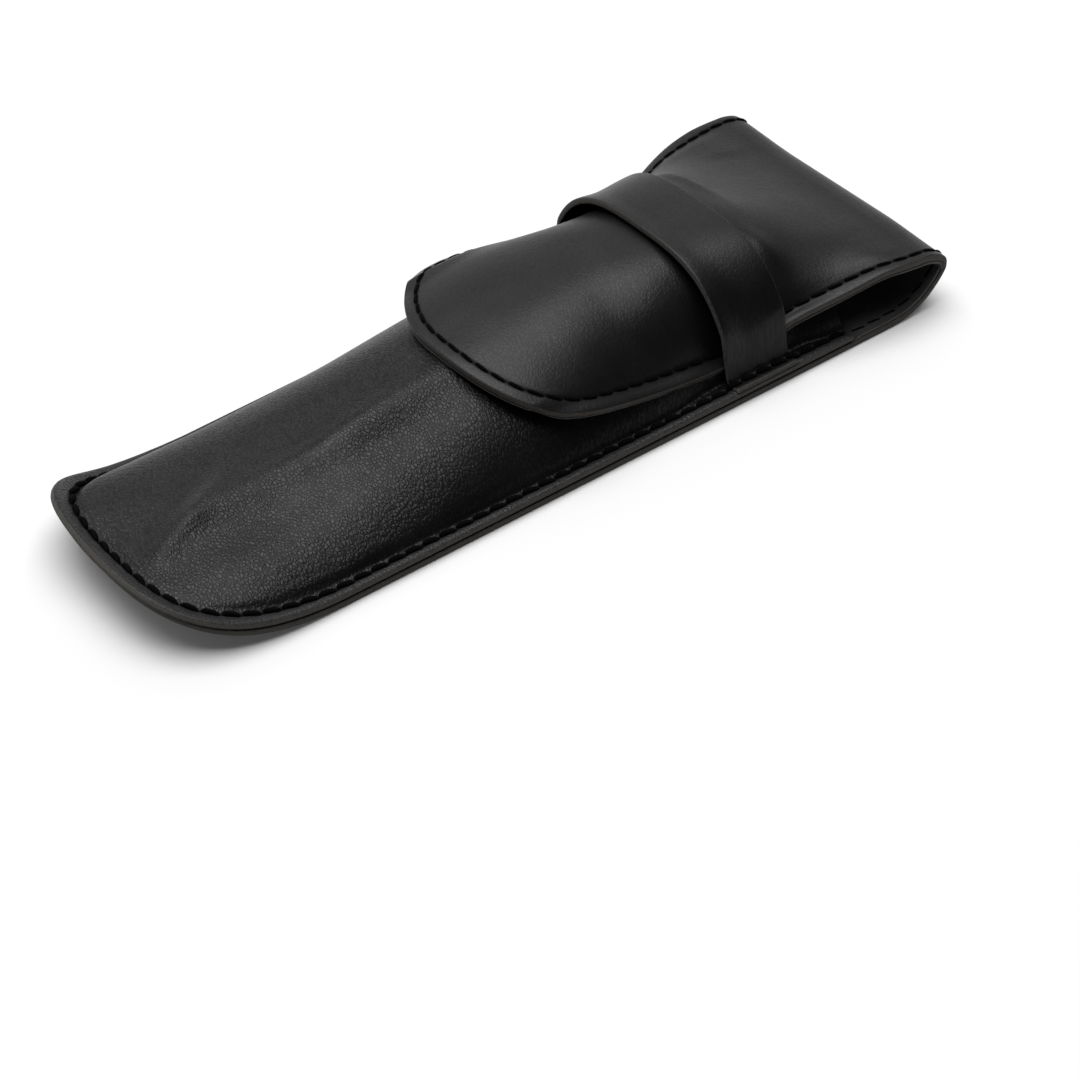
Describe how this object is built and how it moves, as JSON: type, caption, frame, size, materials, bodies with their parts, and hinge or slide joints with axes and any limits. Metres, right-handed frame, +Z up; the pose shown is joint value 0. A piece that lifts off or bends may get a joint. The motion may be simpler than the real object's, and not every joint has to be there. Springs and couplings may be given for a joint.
{
  "type": "pen pouch",
  "caption": "Moulded leather pouch for a pen, with a fold-over flap whose tongue tucks under a sewn keeper band",
  "frame": {"origin": "middle of the footprint, on the flat back that the pouch lies on", "axes": "+X runs along the pouch from the closed round end to the folded end, +Y across it, +Z up out of the flat back towards the flap"},
  "size_m": [0.162, 0.0562, 0.0235],
  "materials": {
    "leather": "smooth black calf, semi matt",
    "leather_grained": "black calf stretched over a mould, fine pore grain, satin",
    "lining": "black suede, matt",
    "thread": "waxed black polyester thread"
  },
  "bodies": {
    "root": {"back_panel": "leather", "back_lining": "lining", "body_thread_back": "thread", "front_panel": "leather_grained", "front_lining": "lining", "keeper_band": "leather", "body_thread_front": "thread"},
    "spine": {"spine_outer": "leather", "spine_lining": "lining", "spine_thread_left": "thread", "spine_thread_right": "thread"},
    "flap": {"flap_outer": "leather", "flap_lining": "lining", "flap_thread_left": "thread", "flap_thread_right": "thread", "tongue_outer": "leather", "tongue_lining": "lining", "tongue_thread": "thread"}
  },
  "joints": [
    {"name": "spine_hinge", "type": "hinge", "parent": "root", "child": "spine", "pos_m": [0.0791, 0, 0.0019], "axis": [0, 1, 0], "range_deg": [0, 80], "deforming": ["tongue_outer", "tongue_lining", "tongue_thread"]},
    {"name": "flap_hinge", "type": "hinge", "parent": "spine", "child": "flap", "pos_m": [0.0791, 0, 0.0111], "axis": [0, 1, 0], "range_deg": [0, 80]}
  ],
  "couplings": [
    {"joint": "flap_hinge", "follows": "spine_hinge", "ratio": 1}
  ]
}
